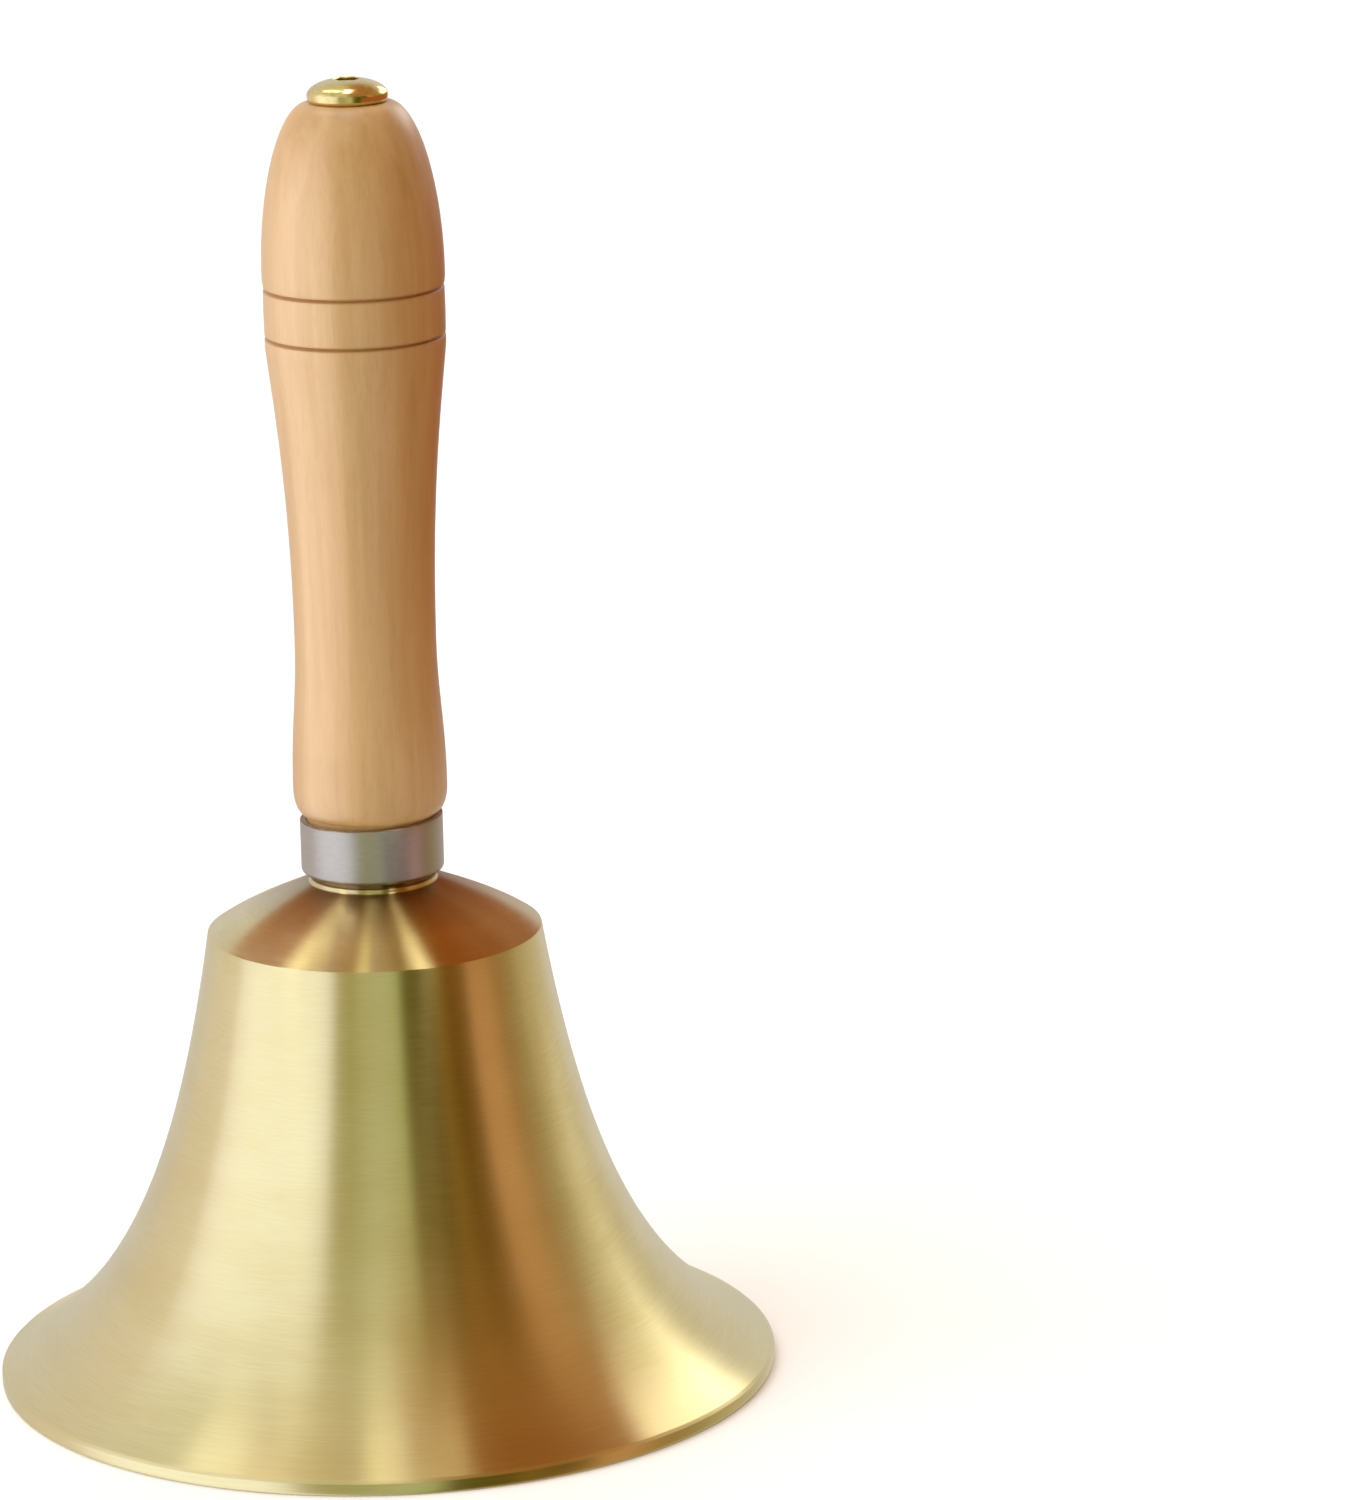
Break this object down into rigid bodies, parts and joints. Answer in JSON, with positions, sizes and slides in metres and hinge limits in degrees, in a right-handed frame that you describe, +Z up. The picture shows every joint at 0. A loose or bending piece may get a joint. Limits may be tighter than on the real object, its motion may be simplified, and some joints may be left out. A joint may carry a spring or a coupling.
{
  "type": "handbell",
  "caption": "Brass handbell with a flared mouth, a turned wooden handle with a steel ferrule, and a clapper swinging on a pin in a swivelling stirrup.",
  "frame": {"origin": "centre of the mouth plane, where the lip rests on a table", "axes": "+Z up the handle along the bell's axis; the clapper's pin lies along Y at rest"},
  "size_m": [0.101, 0.101, 0.1694],
  "materials": {
    "bell_brass": "satin, brushed round the axis",
    "bolt_brass": "polished",
    "stem_brass": "drawn",
    "ball_brass": "turned",
    "ferrule_steel": "satin",
    "stirrup_steel": "bent strip, nickel plated",
    "zinc_steel": "bright zinc plated",
    "spring_steel": "blackened",
    "pin_steel": "ground",
    "handle_wood": "turned and lacquered"
  },
  "bodies": {
    "bell": {"bell_shell": "bell_brass", "ferrule": "ferrule_steel", "handle": "handle_wood", "tie_bolt": "bolt_brass", "crown_washer": "zinc_steel", "spring_washer": "spring_steel", "clamp_nut": "zinc_steel", "swivel_washer": "zinc_steel", "lock_nut": "zinc_steel"},
    "hanger": {"stirrup": "stirrup_steel", "hinge_pin": "pin_steel", "pin_clip": "spring_steel"},
    "clapper": {"clapper_stem": "stem_brass", "clapper_ball": "ball_brass", "ball_nut": "zinc_steel"}
  },
  "joints": [
    {"name": "stirrup_swivel", "type": "hinge", "parent": "bell", "child": "hanger", "pos_m": [0, 0, 0.0545], "axis": [0, 0, 1], "continuous": true},
    {"name": "clapper_swing", "type": "hinge", "parent": "hanger", "child": "clapper", "pos_m": [0, 0, 0.045], "axis": [0, 1, 0], "range_deg": [-38, 38]}
  ]
}
